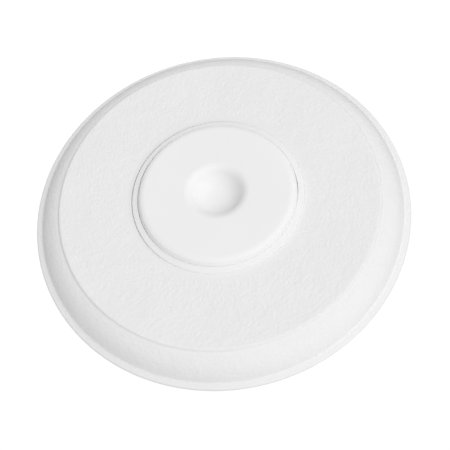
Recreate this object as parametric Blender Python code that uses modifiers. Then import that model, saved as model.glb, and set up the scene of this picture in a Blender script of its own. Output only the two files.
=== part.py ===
"""Concealed pendent fire sprinkler head with a textured ceiling plate.

The head hangs from a pipe fitting: +Z is up, the inlet thread is at the top and
the visible face looks down. The origin is the centre of the inlet's end face.
Heights below are in millimetres from the ceiling plane, which lies 54 mm under it.
"""

import math

import bmesh
import bpy
from mathutils import Matrix, Vector

MM = 0.001

# ---------------------------------------------------------------- driving sizes, mm
CEILING_Z = -54.0  # the ceiling plane, from the inlet's end face

PLATE_R = 63.5  # 5 in ceiling plate
FACE_Z = -8.9  # the plate's flat textured face
FACE_R = 53.75  # outer edge of that face
FACE_STEP = 0.5  # small step from the face down to the skirt
SKIRT_R0, SKIRT_Z0 = 53.95, -8.4
SKIRT_ARC = 11.7  # radius of the skirt's convex section
SKIRT_FROM, SKIRT_TO = 18.4, 70.0  # slope of the skirt at its two ends, degrees
LIP_Z = -1.1  # front of the rim's flat lip
PLATE_T = 1.8
PLATE_HOLE_R = 27.75
COLLAR_R = 32.0

RING_IN_R, RING_OUT_R = 26.75, 28.75
RING_Z = -10.05  # lowest point of the trim ring

COVER_R = 26.4
COVER_Z = -12.1  # the cover's flat bottom
COVER_T = 0.9
SHOULDER = 2.1
DIMPLE_R = 10.2  # where the dimple's rounded rim starts
DIMPLE_DEPTH = 4.6
DIMPLE_RIM = 2.4  # radius of the rounded rim

SLEEVE_IN_R, SLEEVE_OUT_R = 26.75, 27.35
SLEEVE_TOP = 20.0
CUP_IN_R, CUP_OUT_R = 27.9, 28.6  # 2 1/4 in cup
CUP_BOTTOM, CUP_TOP = 2.0, 33.9
CUP_HOLE_R = 10.55

THREAD_TOP, THREAD_BOTTOM = 54.0, 41.0
THREAD_R = 10.35  # 1/2 in taper pipe thread, at its small end
THREAD_PITCH = 1.814
THREAD_DEPTH = 1.2
HEX_AF, HEX_Z0, HEX_Z1 = 25.4, 34.2, 40.4
BARREL_R = 10.2
ORIFICE_R = 5.5  # 11 mm waterway
SEAT_Z = 22.0
SKIRT_IN_R, SKIRT_OUT_R, SKIRT_BOTTOM = 8.9, 12.5, 12.0
PIN_Y, PIN_R = 14.2, 1.0
EAR_Z0, EAR_Z1 = 12.0, 18.0

PIVOT_X, PIVOT_Z = 10.3, 16.3  # lever trunnions
DEFLECTOR_R = 16.0
DEFLECTOR_Z0, DEFLECTOR_Z1 = -6.2, -5.0
DROP = 12.0  # deflector travel
GAP = 0.3

# ---------------------------------------------------------------- scene and helpers
for old in list(bpy.data.objects):
    bpy.data.objects.remove(old)

parts = bpy.data.collections.new("concealed_sprinkler_head")
bpy.context.scene.collection.children.link(parts)
cutters = bpy.data.collections.new("cutters")
bpy.context.scene.collection.children.link(cutters)


def material(name, color, roughness, metallic=0.0):
    mat = bpy.data.materials.new(name)
    mat.use_nodes = True
    shader = mat.node_tree.nodes["Principled BSDF"]
    shader.inputs["Base Color"].default_value = (*color, 1.0)
    shader.inputs["Roughness"].default_value = roughness
    shader.inputs["Metallic"].default_value = metallic
    return mat


WHITE_GRAIN = material("white_grained_plastic", (0.80, 0.80, 0.795), 0.55)
WHITE_COAT = material("white_coating", (0.83, 0.83, 0.825), 0.35)
BRASS = material("brass", (0.72, 0.53, 0.25), 0.35, 1.0)
BRONZE = material("bronze", (0.60, 0.38, 0.20), 0.35, 1.0)
ZINC = material("zinc_plated_steel", (0.62, 0.63, 0.64), 0.4, 1.0)
SPRING = material("spring_steel", (0.45, 0.45, 0.46), 0.35, 1.0)
SOLDER = material("solder", (0.55, 0.56, 0.58), 0.5, 1.0)
FILM = material("white_film", (0.85, 0.85, 0.83), 0.4)


def empty(name, at, parent=None):
    obj = bpy.data.objects.new(name, None)
    obj.empty_display_size = 5 * MM
    obj.location = Vector(at) * MM
    obj.parent = parent
    parts.objects.link(obj)
    return obj


axis = empty("sprinkler_axis", (0, 0, CEILING_Z))  # everything is placed from here
trim_axis = empty("trim_axis", (0, 0, 0), axis)
cover_axis = empty("cover_axis", (0, 0, 0), trim_axis)
deflector_axis = empty("deflector_axis", (0, 0, 0), axis)
valve_axis = empty("valve_axis", (0, 0, SEAT_Z), axis)
pivot_left = empty("pivot_left", (-PIVOT_X, 0, PIVOT_Z), axis)
pivot_right = empty("pivot_right", (PIVOT_X, 0, PIVOT_Z), axis)


def place(obj, parent, mat=None, cutter=False):
    """Puts obj in its collection. Its mesh is in the axis frame, so its origin moves to its parent."""
    (cutters if cutter else parts).objects.link(obj)
    if cutter:
        obj.hide_render = True
        obj.display_type = "WIRE"
    obj.parent = parent
    offset = Vector((0, 0, 0))
    step = parent
    while step is not None and step is not axis:
        offset += step.location
        step = step.parent
    if obj.type == "MESH":
        obj.data.transform(Matrix.Translation(-offset))
    if mat is not None:
        obj.data.materials.append(mat)
    return obj


def smooth(obj, angle=35):
    obj.data.shade_smooth()
    obj.data.set_sharp_from_angle(angle=math.radians(angle))


def turned(name, profile, steps, parent, mat=None, closed=True, cutter=False, at=(0, 0)):
    """A profile of (radius, height) points turned about the vertical through at. It runs down its outer side."""
    mesh = bpy.data.meshes.new(name)
    points = [(r * MM, 0, z * MM) for r, z in profile]
    edges = [(i, i + 1) for i in range(len(points) - 1)]
    if closed:
        edges.append((len(points) - 1, 0))
    mesh.from_pydata(points, edges, [])
    obj = bpy.data.objects.new(name, mesh)
    place(obj, None, mat, cutter)
    screw = obj.modifiers.new("turn", "SCREW")
    screw.axis = "Z"
    screw.angle = 2 * math.pi
    screw.steps = screw.render_steps = steps
    screw.use_merge_vertices = True
    screw.merge_threshold = 1e-5
    screw.use_smooth_shade = True
    obj.parent = parent
    origin = Vector((at[0] * MM, at[1] * MM, 0))
    step, offset = parent, Vector((0, 0, 0))
    while step is not None and step is not axis:
        offset += step.location
        step = step.parent
    mesh.transform(Matrix.Translation((0, 0, -offset.z)))
    obj.location = origin - Vector((offset.x, offset.y, 0))
    return obj


def blocks(name, boxes, parent, mat=None, cutter=False, bevel=0.0):
    """Boxes ((x0, x1), (y0, y1), (z0, z1), turn about Z in degrees), each made from a cube."""
    bm = bmesh.new()
    for (x0, x1), (y0, y1), (z0, z1), turn in boxes:
        size = Matrix.Diagonal(((x1 - x0) * MM, (y1 - y0) * MM, (z1 - z0) * MM, 1))
        middle = Matrix.Translation(
            Vector((x0 + x1, y0 + y1, z0 + z1)) * (MM / 2)
        )
        spin = Matrix.Rotation(math.radians(turn), 4, "Z")
        bmesh.ops.create_cube(bm, size=1, matrix=spin @ middle @ size)
    mesh = bpy.data.meshes.new(name)
    bm.to_mesh(mesh)
    bm.free()
    obj = place(bpy.data.objects.new(name, mesh), parent, mat, cutter)
    if bevel:
        soft = obj.modifiers.new("edges", "BEVEL")
        soft.width = bevel * MM
        soft.segments = 1
    return obj


def rods(name, items, parent, segments=16, mat=None, cutter=False):
    """Cylinders (x, y, z0, z1, radius, axis letter), each made from a cone primitive."""
    bm = bmesh.new()
    for x, y, z0, z1, r, along in items:
        if along == "Z":
            where = Matrix.Translation(Vector((x, y, (z0 + z1) / 2)) * MM)
        else:  # along Y: z0 and z1 are the ends in Y, and y is the height
            where = Matrix.Translation(
                Vector((x, (z0 + z1) / 2, y)) * MM
            ) @ Matrix.Rotation(math.pi / 2, 4, "X")
        bmesh.ops.create_cone(
            bm,
            cap_ends=True,
            segments=segments,
            radius1=r * MM,
            radius2=r * MM,
            depth=(z1 - z0) * MM,
            matrix=where,
        )
    mesh = bpy.data.meshes.new(name)
    bm.to_mesh(mesh)
    bm.free()
    return place(bpy.data.objects.new(name, mesh), parent, mat, cutter)


def boolean(obj, other, operation):
    mod = obj.modifiers.new(operation.lower(), "BOOLEAN")
    mod.operation = operation
    mod.object = other
    mod.solver = "EXACT"
    return mod


def arc(cx, cz, r, a0, a1, n):
    """Points on a circle in the profile plane. The angle is from straight down, towards the outside."""
    out = []
    for i in range(n + 1):
        a = math.radians(a0 + (a1 - a0) * i / n)
        out.append((cx + r * math.sin(a), cz - r * math.cos(a)))
    return out


# ---------------------------------------------------------------- ceiling plate
a0 = math.radians(SKIRT_FROM)
skirt_c = (
    SKIRT_R0 - SKIRT_ARC * math.sin(a0),
    SKIRT_Z0 + SKIRT_ARC * math.cos(a0),
)
outer_arc = arc(*skirt_c, SKIRT_ARC, SKIRT_TO, SKIRT_FROM, 5)
inner_arc = arc(*skirt_c, SKIRT_ARC - PLATE_T, SKIRT_FROM, SKIRT_TO, 3)
back_z = FACE_Z + PLATE_T
plate = turned(
    "ceiling_plate",
    [(PLATE_R, 0), (PLATE_R, LIP_Z + 0.3), (PLATE_R - 0.3, LIP_Z), (61.8, LIP_Z)]
    + outer_arc
    + [
        (FACE_R, FACE_Z),
        (PLATE_HOLE_R, FACE_Z),
        (PLATE_HOLE_R, back_z),
        (COLLAR_R - 0.7, back_z),
        (COLLAR_R - 0.5, back_z + 2.4),
        (COLLAR_R + 0.5, back_z + 2.4),
        (COLLAR_R + 0.7, back_z),
        (52.4, back_z),
    ]
    + inner_arc
    + [(60.0, 0)],
    52,
    trim_axis,
    WHITE_GRAIN,
)
plate_ribs = blocks(
    "plate_ribs",
    [((COLLAR_R, 54.6), (-0.6, 0.6), (back_z - 0.6, back_z + 1.9), 30 + 60 * k) for k in range(6)],
    trim_axis,
    cutter=True,
)
boolean(plate, plate_ribs, "UNION")

# ---------------------------------------------------------------- trim ring
turned(
    "trim_ring",
    [
        (RING_OUT_R, FACE_Z - GAP),
        (RING_OUT_R - 0.15, RING_Z + 0.3),
        (RING_OUT_R - 0.6, RING_Z),
        (RING_IN_R + 0.25, RING_Z),
        (RING_IN_R, RING_Z + 0.25),
        (RING_IN_R, FACE_Z - GAP),
    ],
    52,
    trim_axis,
    WHITE_COAT,
)

# ---------------------------------------------------------------- retainer sleeve
sleeve = turned(
    "retainer_sleeve",
    [
        (SLEEVE_OUT_R, SLEEVE_TOP),
        (SLEEVE_OUT_R, FACE_Z),
        (SLEEVE_IN_R, FACE_Z),
        (SLEEVE_IN_R, SLEEVE_TOP),
    ],
    48,
    trim_axis,
    ZINC,
)
sleeve_windows = blocks(
    "sleeve_windows",
    [((24, 30), (-5, 5), (1.5, 8.5), 45 + 90 * k) for k in range(4)],
    trim_axis,
    cutter=True,
)
boolean(sleeve, sleeve_windows, "DIFFERENCE")
tab_turns = (90, 210, 330)
tab_z = COVER_Z + COVER_T + 2 * GAP + 0.3  # underside of each tab's foot
sleeve_tabs = None
for k, turn in enumerate(tab_turns):
    # each tab is a bent strip: in from the wall, down, and in again to a foot
    outline = [
        (SLEEVE_IN_R + 0.3, -4.7),
        (22.5, -4.7),
        (22.5, tab_z + 0.7),
        (20.5, tab_z + 0.7),
        (20.5, tab_z),
        (23.3, tab_z),
        (23.3, -5.5),
        (SLEEVE_IN_R + 0.3, -5.5),
    ]
    curve = bpy.data.curves.new(f"tab_outline_{k}", "CURVE")
    curve.dimensions = "2D"
    curve.fill_mode = "BOTH"
    curve.extrude = 2.5 * MM
    line = curve.splines.new("POLY")
    line.points.add(len(outline) - 1)
    for point, (r, z) in zip(line.points, outline):
        point.co = (r * MM, z * MM, 0, 1)
    line.use_cyclic_u = True
    guide = bpy.data.objects.new(f"tab_outline_{k}", curve)
    cutters.objects.link(guide)
    guide.matrix_world = Matrix.Rotation(math.radians(turn), 4, "Z") @ Matrix.Rotation(
        math.pi / 2, 4, "X"
    )
    bpy.context.view_layer.update()
    graph = bpy.context.evaluated_depsgraph_get()
    strip = bpy.data.meshes.new_from_object(guide.evaluated_get(graph))
    strip.transform(guide.matrix_world)
    bm = bmesh.new()
    bm.from_mesh(strip)
    bmesh.ops.remove_doubles(bm, verts=bm.verts, dist=1e-6)
    bmesh.ops.recalc_face_normals(bm, faces=bm.faces)
    bm.to_mesh(strip)
    bm.free()
    bpy.data.objects.remove(guide)
    tab = place(
        bpy.data.objects.new(f"sleeve_tab_{k + 1}", strip), trim_axis, cutter=True
    )
    boolean(sleeve, tab, "UNION")
thread_dimples = bpy.data.meshes.new("thread_dimples")
bm = bmesh.new()
for k in range(4):
    a = math.radians(90 * k)
    bmesh.ops.create_uvsphere(
        bm,
        u_segments=8,
        v_segments=6,
        radius=1.6 * MM,
        matrix=Matrix.Translation(
            Vector((26.0 * math.cos(a), 26.0 * math.sin(a), 15.0 - 0.45 * k)) * MM
        ),
    )
bm.to_mesh(thread_dimples)
bm.free()
dimples = place(
    bpy.data.objects.new("sleeve_thread_dimples", thread_dimples), trim_axis, cutter=True
)
boolean(sleeve, dimples, "UNION")

# ---------------------------------------------------------------- push-on clip behind the plate
clip = turned(
    "plate_clip",
    [
        (30.8, back_z + GAP + 0.8),
        (30.8, back_z + GAP),
        (SLEEVE_OUT_R + GAP, back_z + GAP + 0.1),
        (SLEEVE_OUT_R + GAP, back_z + GAP + 0.9),
    ],
    40,
    trim_axis,
    SPRING,
)
clip_notches = blocks(
    "clip_notches",
    [((26.5, 29.6), (-0.5, 0.5), (back_z, back_z + 2.5), 15 + 30 * k) for k in range(12)],
    trim_axis,
    cutter=True,
)
boolean(clip, clip_notches, "DIFFERENCE")

# ---------------------------------------------------------------- cover disc with its dimple
def cover_profile():
    """Outer surface from the side wall to the dimple's centre, then the inner one back out."""
    half = math.radians(58)  # slope where the rounded rim meets the dimple's bowl
    rim_r = DIMPLE_R - DIMPLE_RIM * math.sin(half)
    rim_z = COVER_Z + DIMPLE_RIM * (1 - math.cos(half))
    left = COVER_Z + DIMPLE_DEPTH - rim_z
    # the bowl is part of an ellipse that leaves the rim at that slope and ends level at the axis
    bowl = []
    for i in range(1, 7):
        t = i / 6
        r = rim_r * (1 - t)
        q = 1 - t
        power = math.tan(half) * rim_r / left
        bowl.append((r, rim_z + left * (1 - q**power)))
    outside = [(COVER_R, -8.6)]
    outside += [(COVER_R, COVER_Z + SHOULDER)]
    outside += arc(COVER_R - SHOULDER, COVER_Z + SHOULDER, SHOULDER, 90, 0, 4)[1:]
    outside += [
        (
            DIMPLE_R - DIMPLE_RIM * math.sin(math.radians(s)),
            COVER_Z + DIMPLE_RIM * (1 - math.cos(math.radians(s))),
        )
        for s in (0, 29, 58)
    ]
    outside += bowl
    inside = [(0, COVER_Z + DIMPLE_DEPTH + COVER_T)]
    inside += [(r + COVER_T * 0.75, z + COVER_T) for r, z in reversed(bowl[:-2])]
    inside += [(DIMPLE_R + 0.6, COVER_Z + COVER_T)]
    inside += [(COVER_R - SHOULDER, COVER_Z + COVER_T)]
    inside += [(COVER_R - COVER_T, COVER_Z + SHOULDER), (COVER_R - COVER_T, -8.6)]
    return outside + inside


turned("cover_disc", cover_profile(), 44, cover_axis, WHITE_COAT)

for k, turn in enumerate(tab_turns):
    blocks(
        f"cover_solder_pad_{k + 1}",
        [
            (
                (20.7, 23.1),
                (-2.2, 2.2),
                (COVER_Z + COVER_T + GAP, COVER_Z + COVER_T + GAP + 0.3),
                turn,
            )
        ],
        cover_axis,
        SOLDER,
    )

# ejection spring round the dimple's boss
SPRING_R, SPRING_WIRE, SPRING_TURNS = 11.9, 0.35, 2.5
spring_z0 = COVER_Z + COVER_T + GAP + SPRING_WIRE
spring_z1 = DEFLECTOR_Z0 - GAP - SPRING_WIRE
coil = bpy.data.curves.new("ejection_spring", "CURVE")
coil.dimensions = "3D"
coil.bevel_depth = SPRING_WIRE * MM
coil.bevel_resolution = 2
coil.use_fill_caps = True
turns = coil.splines.new("POLY")
count = int(18 * SPRING_TURNS) + 1
turns.points.add(count - 1)
for i in range(count):
    t = i / (count - 1)
    a = 2 * math.pi * SPRING_TURNS * t
    turns.points[i].co = (
        SPRING_R * math.cos(a) * MM,
        SPRING_R * math.sin(a) * MM,
        (spring_z0 + (spring_z1 - spring_z0) * t) * MM,
        1,
    )
spring = bpy.data.objects.new("ejection_spring", coil)
place(spring, cover_axis, SPRING)

# ---------------------------------------------------------------- sprinkler body
def body_profile():
    """Down the thread, the hexagon's core, the barrel and the lever skirt, then up the waterway."""
    out = [(THREAD_R - THREAD_DEPTH, THREAD_TOP)]
    ridges = int((THREAD_TOP - THREAD_BOTTOM) / THREAD_PITCH)
    for i in range(ridges):
        z = THREAD_TOP - 0.6 - (i + 0.35) * THREAD_PITCH
        r = THREAD_R + (THREAD_TOP - z) / 32
        out += [(r, z), (r - THREAD_DEPTH, z - THREAD_PITCH / 2)]
    out += [
        (THREAD_R - 0.4, THREAD_BOTTOM - 0.2),
        (THREAD_R + 0.8, HEX_Z1 - 1),
        (THREAD_R + 0.8, HEX_Z0),
        (BARREL_R, HEX_Z0),
        (BARREL_R, SEAT_Z + 3),
        (SKIRT_OUT_R, SEAT_Z),
        (SKIRT_OUT_R, SKIRT_BOTTOM),
        (SKIRT_IN_R, SKIRT_BOTTOM),
        (SKIRT_IN_R, SEAT_Z),
        (ORIFICE_R, SEAT_Z),
        (ORIFICE_R, THREAD_TOP - 3),
        (ORIFICE_R + 2, THREAD_TOP),
    ]
    return out


body = turned("sprinkler_body", body_profile(), 36, axis, BRASS)
bm = bmesh.new()
bmesh.ops.create_cone(
    bm,
    cap_ends=True,
    segments=6,
    radius1=HEX_AF / math.sqrt(3) * MM,
    radius2=HEX_AF / math.sqrt(3) * MM,
    depth=(HEX_Z1 - HEX_Z0) * MM,
    matrix=Matrix.Translation((0, 0, (HEX_Z0 + HEX_Z1) / 2 * MM)),
)
hex_mesh = bpy.data.meshes.new("body_hexagon")
bm.to_mesh(hex_mesh)
bm.free()
hexagon = place(bpy.data.objects.new("body_hexagon", hex_mesh), axis, cutter=True)
hexagon_core = rods(
    "hexagon_core", [(0, 0, HEX_Z0 - 1, HEX_Z1 + 1, BARREL_R - 1.5, "Z")], axis, 24, cutter=True
)
boolean(hexagon, hexagon_core, "DIFFERENCE")
boolean(body, hexagon, "UNION")
ears = blocks(
    "body_ears",
    [
        ((-3, 3), (10.5, PIN_Y + 2.6), (EAR_Z0, EAR_Z1), 0),
        ((-3, 3), (-PIN_Y - 2.6, -10.5), (EAR_Z0, EAR_Z1), 0),
    ],
    axis,
    cutter=True,
    bevel=0.8,
)
boolean(body, ears, "UNION")
stop_reliefs = blocks(
    "stop_reliefs",  # flats on the lever skirt that the pins' stop collars slide past
    [
        ((-2.7, 2.7), (11.7, 19), (EAR_Z1 - 0.1, SEAT_Z + 3.5), 0),
        ((-2.7, 2.7), (-19, -11.7), (EAR_Z1 - 0.1, SEAT_Z + 3.5), 0),
    ],
    axis,
    cutter=True,
)
boolean(body, stop_reliefs, "DIFFERENCE")
ear_holes = rods(
    "ear_holes",
    [(0, s * PIN_Y, EAR_Z0 - 1, EAR_Z1 + 1, PIN_R + GAP, "Z") for s in (-1, 1)],
    axis,
    20,
    cutter=True,
)
boolean(body, ear_holes, "DIFFERENCE")
lever_pockets = blocks(
    "lever_pockets",
    [((6, 14), (-5.5, 5.5), (PIVOT_Z - 1 - GAP, 18.3), t) for t in (0, 180)],
    axis,
    cutter=True,
)
boolean(body, lever_pockets, "DIFFERENCE")
lever_slots = blocks(
    "lever_slots",
    [((6, 14), (-3.0, 3.0), (SKIRT_BOTTOM - 1, 18.0), t) for t in (0, 180)],
    axis,
    cutter=True,
)
boolean(body, lever_slots, "DIFFERENCE")

# ---------------------------------------------------------------- support cup
def cup_profile():
    out = [(CUP_HOLE_R, CUP_TOP), (CUP_OUT_R - 2, CUP_TOP), (CUP_OUT_R - 0.6, CUP_TOP - 0.6)]
    out += [(CUP_OUT_R, CUP_TOP - 2)]
    beads = (21.0, 14.0)
    for z in beads:
        out += [(CUP_OUT_R, z + 1.2), (CUP_OUT_R + 0.5, z), (CUP_OUT_R, z - 1.2)]
    out += [(CUP_OUT_R, CUP_BOTTOM), (CUP_IN_R, CUP_BOTTOM)]
    for z in reversed(beads):
        out += [(CUP_IN_R, z - 1.2), (CUP_IN_R + 0.5, z), (CUP_IN_R, z + 1.2)]
    out += [(CUP_IN_R, CUP_TOP - 2), (CUP_IN_R - 1.1, CUP_TOP - 0.9), (CUP_HOLE_R, CUP_TOP - 0.9)]
    return out


cup = turned("support_cup", cup_profile(), 44, axis, ZINC)
cup_vents = blocks(
    "cup_vents",
    [((16, 24.5), (-2, 2), (CUP_TOP - 3, CUP_TOP + 1), 30 + 60 * k) for k in range(6)]
    + [((25, 31), (-4, 4), (CUP_TOP - 8.5, CUP_TOP - 4.5), 60 * k) for k in range(6)],
    axis,
    cutter=True,
)
boolean(cup, cup_vents, "DIFFERENCE")
snap = turned(
    "cup_retaining_ring",
    [(12.4, 32.7), (12.4, 31.9), (BARREL_R + GAP, 31.9), (BARREL_R + GAP, 32.7)],
    32,
    axis,
    SPRING,
)
snap_gap = blocks(
    "snap_ring_gap", [((9, 14), (-1.5, 1.5), (31, 34), 180)], axis, cutter=True
)
boolean(snap, snap_gap, "DIFFERENCE")

# ---------------------------------------------------------------- valve: cap, spring, film, saddle, screw
turned(
    "valve_cap",
    [
        (0, SEAT_Z - 0.1),
        (3.4, SEAT_Z - 0.1),
        (4.2, SEAT_Z - 0.6),
        (4.2, SEAT_Z - 2.25),
        (6.9, SEAT_Z - 2.25),
        (6.9, SEAT_Z - 3.05),
        (2.0, SEAT_Z - 3.05),
        (2.0, SEAT_Z - 2.4),
        (0, SEAT_Z - 2.4),
    ],
    32,
    valve_axis,
    BRONZE,
    closed=False,
)
turned(
    "sealing_spring",
    [
        (8.3, SEAT_Z - 0.85),
        (8.3, SEAT_Z - 1.25),
        (4.6, SEAT_Z - 1.95),
        (4.6, SEAT_Z - 1.55),
    ],
    32,
    valve_axis,
    SPRING,
)
turned(
    "seal_film",
    [(8.3, SEAT_Z - 0.3), (8.3, SEAT_Z - 0.55), (5.7, SEAT_Z - 0.55), (5.7, SEAT_Z - 0.3)],
    32,
    valve_axis,
    FILM,
)
turned(
    "saddle_plate",
    [
        (4.6, SEAT_Z - 3.4),
        (4.6, SEAT_Z - 4.1),
        (1.9, SEAT_Z - 4.1),
        (1.9, SEAT_Z - 3.4),
    ],
    24,
    valve_axis,
    SPRING,
)
turned(
    "load_screw",
    [
        (0, SEAT_Z - 2.7),
        (1.3, SEAT_Z - 2.7),
        (1.6, SEAT_Z - 3.0),
        (1.6, SEAT_Z - 4.7),
        (1.3, SEAT_Z - 5.0),
        (0.7, SEAT_Z - 5.0),
        (0.7, SEAT_Z - 4.0),
        (0, SEAT_Z - 4.0),
    ],
    16,
    valve_axis,
    BRASS,
    closed=False,
)

# ---------------------------------------------------------------- levers and the fusible link
ARM_BOTTOM = 0.5
LINK_Z0, LINK_Z1 = 1.0, 6.0
for side, name, pivot in ((-1, "left", pivot_left), (1, "right", pivot_right)):

    def span(a, b, s=side):
        return (min(s * a, s * b), max(s * a, s * b))

    lever = blocks(
        f"lever_{name}",
        [(span(6.8, 11.0), (-2.4, 2.4), (PIVOT_Z - 0.9, PIVOT_Z + 1.0), 0)],
        pivot,
        BRASS,
    )
    toe = blocks(
        f"lever_toe_{name}",
        [(span(2.6, 7.6), (-2.4, 2.4), (PIVOT_Z - 0.7, PIVOT_Z + 1.3), 0)],
        pivot,
        cutter=True,
    )
    arm = blocks(
        f"lever_arm_{name}",
        [(span(7.0, 9.0), (-2.3, 2.3), (ARM_BOTTOM, PIVOT_Z + 0.2), 0)],
        pivot,
        cutter=True,
    )
    trunnion = rods(
        f"lever_trunnion_{name}",
        [(side * PIVOT_X, PIVOT_Z, -5.2, 5.2, 1.0, "Y")],
        pivot,
        16,
        cutter=True,
    )
    y0 = -0.75 if side < 0 else 0.75
    slit = blocks(
        f"lever_slit_{name}",
        [(span(6.0, 10.0), (y0 - 0.6, y0 + 0.6), (LINK_Z0 - GAP, LINK_Z1 + GAP), 0)],
        pivot,
        cutter=True,
    )
    boolean(lever, toe, "UNION")
    boolean(lever, arm, "UNION")
    boolean(lever, trunnion, "UNION")
    boolean(lever, slit, "DIFFERENCE")

    plate_half = blocks(
        f"link_plate_{name}",
        [(span(-3.3, 10.4), (y0 - 0.3, y0 + 0.3), (LINK_Z0, LINK_Z1), 0)],
        pivot,
        BRONZE,
    )
    head = blocks(
        f"link_head_{name}",
        [(span(9.4, 10.6), (y0 - 0.3, y0 + 0.3), (LINK_Z0 - 0.9, LINK_Z1 + 0.9), 0)],
        pivot,
        cutter=True,
    )
    boolean(plate_half, head, "UNION")

blocks(
    "solder_film",
    [((-3.0, 3.0), (-0.15, 0.15), (LINK_Z0 + 0.3, LINK_Z1 - 0.3), 0)],
    pivot_left,
    SOLDER,
)

# ---------------------------------------------------------------- deflector and its guide pins
deflector = turned(
    "deflector",
    [
        (0, DEFLECTOR_Z1 + 0.6),
        (1.6, DEFLECTOR_Z1 + 0.6),
        (3.6, DEFLECTOR_Z1),
        (DEFLECTOR_R, DEFLECTOR_Z1),
        (DEFLECTOR_R, DEFLECTOR_Z0),
        (0, DEFLECTOR_Z0),
    ],
    48,
    deflector_axis,
    BRASS,
    closed=False,
)
teeth = blocks(
    "deflector_slots",
    [
        ((9.5, 18), (-0.9, 0.9), (DEFLECTOR_Z0 - 1, DEFLECTOR_Z1 + 1), t)
        for t in (0, 26, 52, 128, 154, 180, 206, 232, 308, 334)
    ],
    deflector_axis,
    cutter=True,
)
boolean(deflector, teeth, "DIFFERENCE")
pin_holes = rods(
    "deflector_pin_holes",
    [(0, s * PIN_Y, DEFLECTOR_Z0 - 1, DEFLECTOR_Z1 + 1, PIN_R + GAP, "Z") for s in (-1, 1)],
    deflector_axis,
    16,
    cutter=True,
)
boolean(deflector, pin_holes, "DIFFERENCE")

stop_z = EAR_Z1 + DROP + GAP
for s, name in ((-1, "front"), (1, "back")):
    turned(
        f"guide_pin_{name}",
        [
            (0, stop_z + 1.4),
            (1.5, stop_z + 1.4),
            (1.5, stop_z + 1.1),
            (PIN_R, stop_z + 1.1),
            (PIN_R, DEFLECTOR_Z1 + 0.9),
            (1.6, DEFLECTOR_Z1 + 0.9),
            (1.6, DEFLECTOR_Z1 + GAP),
            (PIN_R, DEFLECTOR_Z1 + GAP),
            (PIN_R, DEFLECTOR_Z0 - GAP),
            (1.6, DEFLECTOR_Z0 - GAP),
            (1.4, DEFLECTOR_Z0 - GAP - 0.6),
            (0, DEFLECTOR_Z0 - GAP - 0.6),
        ],
        12,
        deflector_axis,
        SPRING,
        closed=False,
        at=(0, s * PIN_Y),
    )
    turned(
        f"pin_stop_{name}",
        [
            (2.1, stop_z + 0.8),
            (2.1, stop_z),
            (PIN_R + GAP, stop_z),
            (PIN_R + GAP, stop_z + 0.8),
        ],
        12,
        deflector_axis,
        BRASS,
        at=(0, s * PIN_Y),
    )

for obj in parts.objects:
    if obj.type == "MESH" and not any(m.type == "SCREW" for m in obj.modifiers):
        smooth(obj)
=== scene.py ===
"""Concealed pendent fire sprinkler head: the visual model, its studio and its camera.

Heights named z are in millimetres from the ceiling plane, which lies 54 mm under the
inlet's end face. The visible side of the head looks down.
"""

import math

import bmesh
import bpy
import numpy as np
from mathutils import Matrix, Vector


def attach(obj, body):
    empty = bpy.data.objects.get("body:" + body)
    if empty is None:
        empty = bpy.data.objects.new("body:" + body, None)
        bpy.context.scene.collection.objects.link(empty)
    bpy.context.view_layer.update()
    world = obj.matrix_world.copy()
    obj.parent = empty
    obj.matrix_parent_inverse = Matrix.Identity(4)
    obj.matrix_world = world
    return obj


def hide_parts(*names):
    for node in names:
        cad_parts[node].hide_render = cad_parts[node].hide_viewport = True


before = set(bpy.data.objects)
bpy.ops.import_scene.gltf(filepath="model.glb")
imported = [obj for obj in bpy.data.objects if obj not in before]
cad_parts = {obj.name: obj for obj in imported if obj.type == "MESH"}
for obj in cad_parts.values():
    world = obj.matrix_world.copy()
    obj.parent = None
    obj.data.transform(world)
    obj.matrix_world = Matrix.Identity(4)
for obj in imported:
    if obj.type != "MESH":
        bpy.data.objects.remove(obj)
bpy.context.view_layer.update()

MM = 0.001
CEILING = -54.0
SEAT = 22.0  # height of the valve seat

scene = bpy.context.scene

# ======================================================================= materials


def node(tree, kind, inputs=None, **props):
    n = tree.nodes.new(kind)
    for key, value in props.items():
        setattr(n, key, value)
    for key, value in (inputs or {}).items():
        if isinstance(value, bpy.types.NodeSocket):
            tree.links.new(value, n.inputs[key])
        else:
            n.inputs[key].default_value = value
    return n


def new_material(name):
    mat = bpy.data.materials.new(name)
    mat.use_nodes = True
    return mat, mat.node_tree, mat.node_tree.nodes["Principled BSDF"]


def ramp(tree, fac, low, high, dark, light):
    """A colour between dark and light as fac goes from low to high."""
    n = node(tree, "ShaderNodeMapRange", {"Value": fac, "From Min": low, "From Max": high})
    m = node(tree, "ShaderNodeMix", data_type="RGBA")
    tree.links.new(n.outputs[0], m.inputs[0])
    m.inputs[6].default_value = (*dark, 1)
    m.inputs[7].default_value = (*light, 1)
    return m.outputs[2]


def spread(tree, fac, low, high, to_low, to_high):
    return node(
        tree,
        "ShaderNodeMapRange",
        {"Value": fac, "From Min": low, "From Max": high, "To Min": to_low, "To Max": to_high},
    ).outputs[0]


def noise(tree, vector, scale, detail=2.0, roughness=0.5, distortion=0.0):
    return node(
        tree,
        "ShaderNodeTexNoise",
        {
            "Vector": vector,
            "Scale": scale,
            "Detail": detail,
            "Roughness": roughness,
            "Distortion": distortion,
        },
    ).outputs[0]


def place_of(tree):
    return node(tree, "ShaderNodeTexCoord").outputs["Object"]


def turned_place(tree):
    """(distance from the sprinkler's axis, 0, height): what a lathe tool's marks follow."""
    xyz = node(tree, "ShaderNodeSeparateXYZ", {0: place_of(tree)})
    flat = node(tree, "ShaderNodeCombineXYZ", {0: xyz.outputs[0], 1: xyz.outputs[1]})
    length = node(tree, "ShaderNodeVectorMath", {0: flat.outputs[0]}, operation="LENGTH")
    return node(
        tree, "ShaderNodeCombineXYZ", {0: length.outputs["Value"], 2: xyz.outputs[2]}
    ).outputs[0]


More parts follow.
